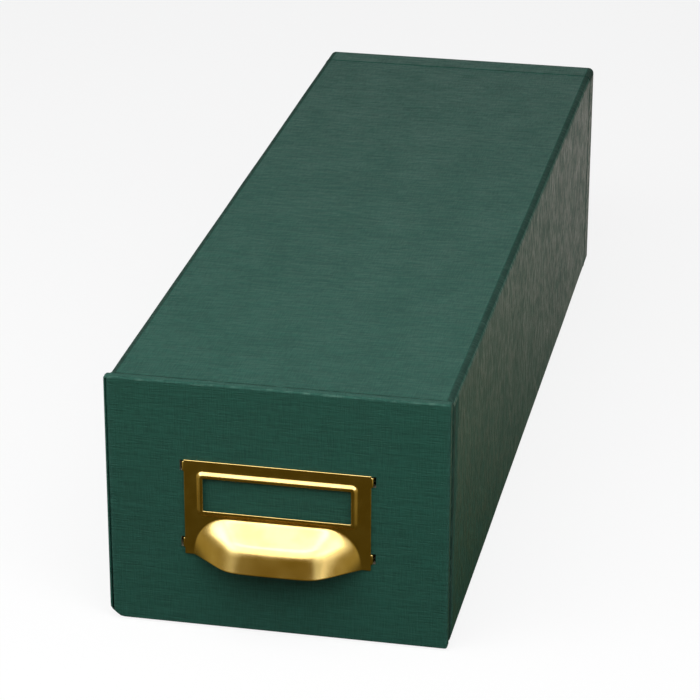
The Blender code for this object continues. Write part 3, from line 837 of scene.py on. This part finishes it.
# ---------------------------------------------------------------- brass label pull
# A single pressing of lacquered brass sheet: a flat plate with a raised lip round its window, a
# three-sided finger hood, and four prongs bent back through the board and clinched inside.
window_width = 0.0476
window_height = 0.0113
window_top = 0.0056          # from the plate's top edge to the window
window_corner = 0.0002
lip_land = 0.0008            # flat rim of the raised lip
lip_flank = 0.0015           # width of the slope from the rim down to the plate
lip_rise = 0.0009
lip_corner = 0.0022
hood_rise = 0.0135           # from the plate's foot to the hood's top line
hood_half = 0.0275
hood_top_half = 0.0165       # half of the straight top line
hood_depth = 0.0114          # how far the rim stands off the plate
fold_drop = 0.0062           # the fold lies this far below the top line
fold_depth = 0.0087          # and this far off the plate
fold_half = 0.0125           # half length of the fold
rim_half = 0.0145            # half length of the rim's straight front
fold_softness = 0.0025       # length over which the fold is rounded
top_softness = 0.0005        # radius where the hood leaves the plate along its top line
side_softness = 0.0003       # and along its two curved sides
facet_sharpness = 8          # higher gives crisper upright creases
prong_clinch = 0.0045        # length bent flat inside the drawer
edge_ease = 0.00023          # the sheet's edges are tumbled round to this radius
hood_columns = 80
hood_rows = 12
row_crowding = 1.5           # the hood's rows are closer near its top line by this power
flank_rows = 10
brass_bright = (0.88, 0.635, 0.250)
brass_dull = (0.81, 0.565, 0.200)
brass_roughness = (0.20, 0.24)
brass_cloud = 160.0          # scale of the lacquer's clouds
brass_lines = (90.0, 900.0, 2600.0)        # and of the rolling lines, along X, Y and Z

pull_top = pull_foot + pull_height
pull_face = front_low.y - glue_film - pull_sheet
clinch_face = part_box("label_pull")[1].y


def brass():
    """Bright rolled sheet under lacquer that has dulled unevenly."""
    finish = bpy.data.materials.new("lacquered brass")
    finish.use_nodes = True
    tree = finish.node_tree
    shader = tree.nodes["Principled BSDF"]
    place = add_node(tree, "TexCoord").outputs["Object"]
    cloud = add_node(tree, "TexNoise", {"Vector": place, "Scale": brass_cloud, "Detail": 3.0}).outputs[0]
    rolled = add_node(tree, "Mapping", {"Vector": place, "Scale": brass_lines}).outputs[0]
    lines = add_node(tree, "TexNoise", {"Vector": rolled, "Scale": 1.0, "Detail": 2.0}).outputs[0]
    colour = mix_colours(tree, fade(tree, cloud, 0.3, 0.7), brass_dull, brass_bright)
    connect(tree, colour, shader.inputs["Base Color"])
    connect(tree, fade(tree, cloud, 0.3, 0.7, *brass_roughness), shader.inputs["Roughness"])
    bump = add_node(tree, "Bump", {"Height": lines, "Strength": 0.02, "Distance": 0.00005})
    connect(tree, bump.outputs[0], shader.inputs["Normal"])
    shader.inputs["Metallic"].default_value = 1.0
    return finish


def eased(distance, softness):
    """A ramp that starts level and soon rises one for one."""
    return sqrt(distance * distance + softness * softness) - softness


def hood_profile():
    """The front's left edge from the hood's top line over the fold to the rim: depth, height, half width."""
    top = Vector((0, pull_foot + hood_rise, hood_top_half))
    fold = Vector((fold_depth, pull_foot + hood_rise - fold_drop, fold_half))
    rim = Vector((hood_depth, pull_foot, rim_half))
    before = fold + (top - fold).normalized() * fold_softness
    after = fold + (rim - fold).normalized() * fold_softness
    points = [top.lerp(before, (i / hood_rows) ** row_crowding) for i in range(hood_rows)]
    for i in range(round_steps + 1):
        share = i / round_steps
        points.append(before.lerp(fold, share).lerp(fold.lerp(after, share), share))
    points += [after.lerp(rim, (i + 1) / hood_rows) for i in range(hood_rows)]
    return [(eased(depth, top_softness), height, front) for depth, height, front in points]


def hood_section(depth, height, front):
    """One level slice of the hood: a soft three-sided bow that starts and ends on the plate."""
    up = (height - pull_foot) / hood_rise
    half = hood_top_half + (hood_half - hood_top_half) * sqrt(max(1 - up * up, 0))
    points = []
    for column in range(hood_columns + 1):
        bow = -cos(pi * column / hood_columns)
        across = half * (0.5 * (2 * column / hood_columns - 1) + 0.5 * bow)
        rise = eased(half - abs(across), side_softness) / max(half - front, cloth_thickness)
        share = 0 if rise <= 0 else (1 + rise ** -facet_sharpness) ** (-1 / facet_sharpness)
        points.append((across, pull_face - depth * share, height))
    return points


def lip_section(out, rise):
    """The outline of the raised lip round the window, moved out from the window's edge."""
    half = window_width / 2 + out
    high = pull_top - window_top + out
    low = pull_top - window_top - window_height - out
    corner = max(lip_corner - lip_land - lip_flank + out, window_corner)
    outline = rounded_outline(-half, half, low, high, corner, (1, 1))
    return [(point[0], pull_face - rise, point[1]) for point in outline]


def plate_border(builder, left_tip, right_tip):
    """The plate's outer edge, from one tip of the hood round to the other, with points at the prongs."""
    heights = [pull_foot + height for span in prong_rows for height in span]
    left = [(-pull_half, height) for height in [pull_foot] + heights + [pull_top]]
    right = [(pull_half, height) for height in [pull_top] + heights[::-1] + [pull_foot]]
    return [left_tip] + [builder.verts.new((x, pull_face, z)) for x, z in left + right] + [right_tip]


def bend_prongs(builder):
    """Grow the four prongs from the plate's edge, back through the board and inwards behind it."""
    turn = quarter_turn(prong_bend)
    tolerance = 0.0001
    for side in (-1, 1):
        for low, high in prong_rows:
            path = [(pull_half + prong_bend - inset, pull_face + end) for inset, end, _ in turn[::-1]][1:]
            path += [(pull_half + prong_bend - inset, clinch_face - end) for inset, end, _ in turn]
            path.append((pull_half - prong_clinch, clinch_face))
            edges = [edge for edge in builder.edges
                     if all(abs(vert.co.x - side * pull_half) < tolerance
                            and pull_foot + low - tolerance < vert.co.z < pull_foot + high + tolerance
                            and abs(vert.co.y - pull_face) < tolerance for vert in edge.verts)]
            for x, y in path:
                grown = bmesh.ops.extrude_edge_only(builder, edges=edges)["geom"]
                for vert in grown:
                    if isinstance(vert, bmesh.types.BMVert):
                        vert.co.x = side * x
                        vert.co.y = y
                edges = [edge for edge in grown if isinstance(edge, bmesh.types.BMEdge)]


def make_label_pull():
    """One sheet: hood and lip are joined to the flat plate, and the prongs grow from its edge."""
    builder = bmesh.new()
    hood = [[builder.verts.new(point) for point in hood_section(*level)] for level in hood_profile()]
    skin_rows(builder, hood)
    down = [i / flank_rows for i in range(flank_rows + 1)]
    lip = [lip_section(0, lip_rise)]
    lip += [lip_section(lip_land + lip_flank * share, lip_rise * (1 + cos(pi * share)) / 2) for share in down]
    lip = [[builder.verts.new(point) for point in outline] for outline in lip]
    skin_rows(builder, lip, closed=True)
    seam = [row[0] for row in hood[::-1]] + hood[0][1:] + [row[-1] for row in hood[1:]]
    border = plate_border(builder, seam[0], seam[-1]) + seam[-2:0:-1]
    edges = []
    for ring in (border, lip[-1]):
        for start, end in zip(ring, ring[1:] + ring[:1]):
            edges.append(builder.edges.get((start, end)) or builder.edges.new((start, end)))
    bmesh.ops.triangle_fill(builder, use_beauty=True, edges=edges)
    bend_prongs(builder)
    bmesh.ops.recalc_face_normals(builder, faces=builder.faces)
    made = add_piece("brass_label_pull", builder, brass(), "drawer", "label_pull")
    thicken(made, pull_sheet)
    ease = made.modifiers.new("eased edges", "BEVEL")
    ease.width = edge_ease
    ease.segments = 3
    ease.limit_method = "ANGLE"
    ease.angle_limit = radians(70)
    ease.use_clamp_overlap = False
    settle(made, crease=radians(75))
    flat = made.modifiers.new("flat plate", "WEIGHTED_NORMAL")
    flat.keep_sharp = True


make_label_pull()
